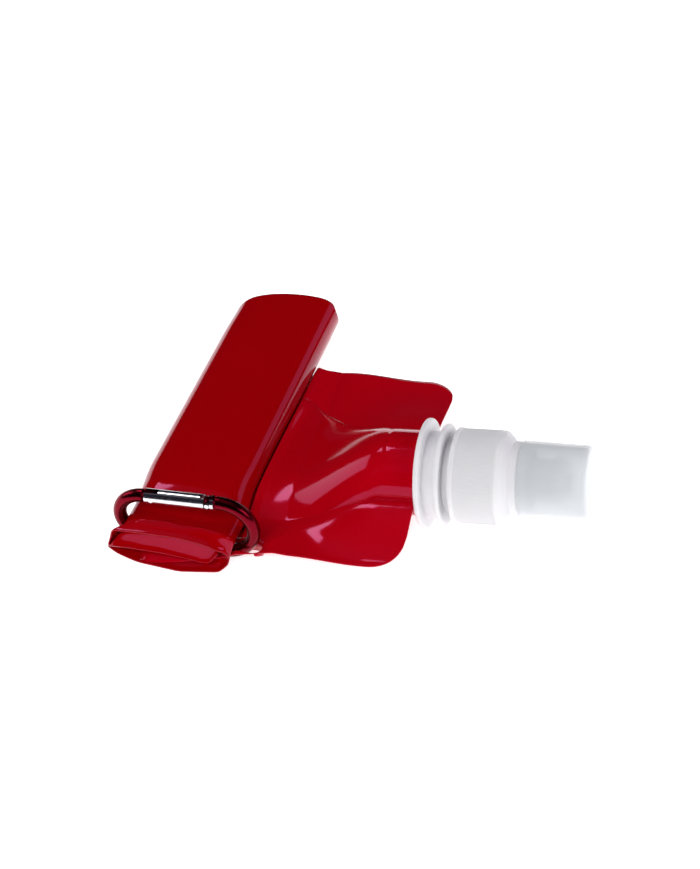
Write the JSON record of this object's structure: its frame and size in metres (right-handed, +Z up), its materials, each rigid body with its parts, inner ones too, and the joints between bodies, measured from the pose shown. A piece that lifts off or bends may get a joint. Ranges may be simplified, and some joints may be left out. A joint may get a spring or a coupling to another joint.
{
  "type": "folding water bottle",
  "caption": "Flat film water pouch rolled up and held by a carabiner, with a flanged spout, screw cap, push-pull nozzle and dust cover.",
  "frame": {"origin": "middle of the base of the whole folded bottle, on the surface it lies on", "axes": "+X along the spout towards its outlet, +Y across the pouch to the roll's far end, +Z up"},
  "size_m": [0.154, 0.129, 0.0383],
  "materials": {
    "red_film": "glossy",
    "white_plastic": "satin",
    "clear_plastic": "glossy, translucent",
    "seal_rubber": "matte",
    "red_anodised": "glossy",
    "bright_steel": "polished"
  },
  "bodies": {
    "roll": {"base_film": "red_film", "rolled_film": "red_film", "bottom_seam": "red_film", "bottom_gusset": "red_film"},
    "spout_panel": {"front_ply": "red_film", "back_ply": "red_film", "spout_fitment": "white_plastic"},
    "liner": {"cap_liner": "seal_rubber"},
    "cap": {"screw_cap": "white_plastic"},
    "nozzle": {"nozzle": "white_plastic"},
    "dust_cover": {"dust_cover": "clear_plastic"},
    "carabiner": {"carabiner_body": "red_anodised", "gate_pivot_pin": "bright_steel", "nose_pin": "bright_steel"},
    "gate": {"carabiner_gate": "bright_steel", "gate_spring": "bright_steel", "spring_plunger": "bright_steel"}
  },
  "joints": [
    {"name": "panel_fold", "type": "hinge", "parent": "roll", "child": "spout_panel", "pos_m": [-0.02245, -0.0175, 0.0055], "axis": [0, -1, 0], "range_deg": [0, 90]},
    {"name": "cap_lift", "type": "slide", "parent": "spout_panel", "child": "liner", "axis": [0.9893, 0, 0.1461], "range_m": [0, 0.0065]},
    {"name": "cap_turn", "type": "hinge", "parent": "liner", "child": "cap", "pos_m": [0.04134, -0.0175, 0.02135], "axis": [0.9893, 0, 0.1461], "range_deg": [0, 720]},
    {"name": "nozzle_pull", "type": "slide", "parent": "cap", "child": "nozzle", "axis": [0.9893, 0, 0.1461], "range_m": [0, 0.0045]},
    {"name": "dust_cover_pull", "type": "slide", "parent": "cap", "child": "dust_cover", "axis": [0.9893, 0, 0.1461], "range_m": [0, 0.035]},
    {"name": "carabiner_rock", "type": "hinge", "parent": "roll", "child": "carabiner", "pos_m": [-0.05345, -0.0528, 0.0024], "axis": [1, 0, 0], "range_deg": [-12, 12]},
    {"name": "gate_open", "type": "hinge", "parent": "carabiner", "child": "gate", "pos_m": [-0.06293, -0.0528, 0.02147], "axis": [0, 1, 0], "range_deg": [0, 15], "stiffness_Nm_per_rad": 0.02, "springref_deg": -11.46}
  ],
  "couplings": [
    {"joint": "cap_lift", "follows": "cap_turn", "m_per_rad": 0.0005093}
  ]
}
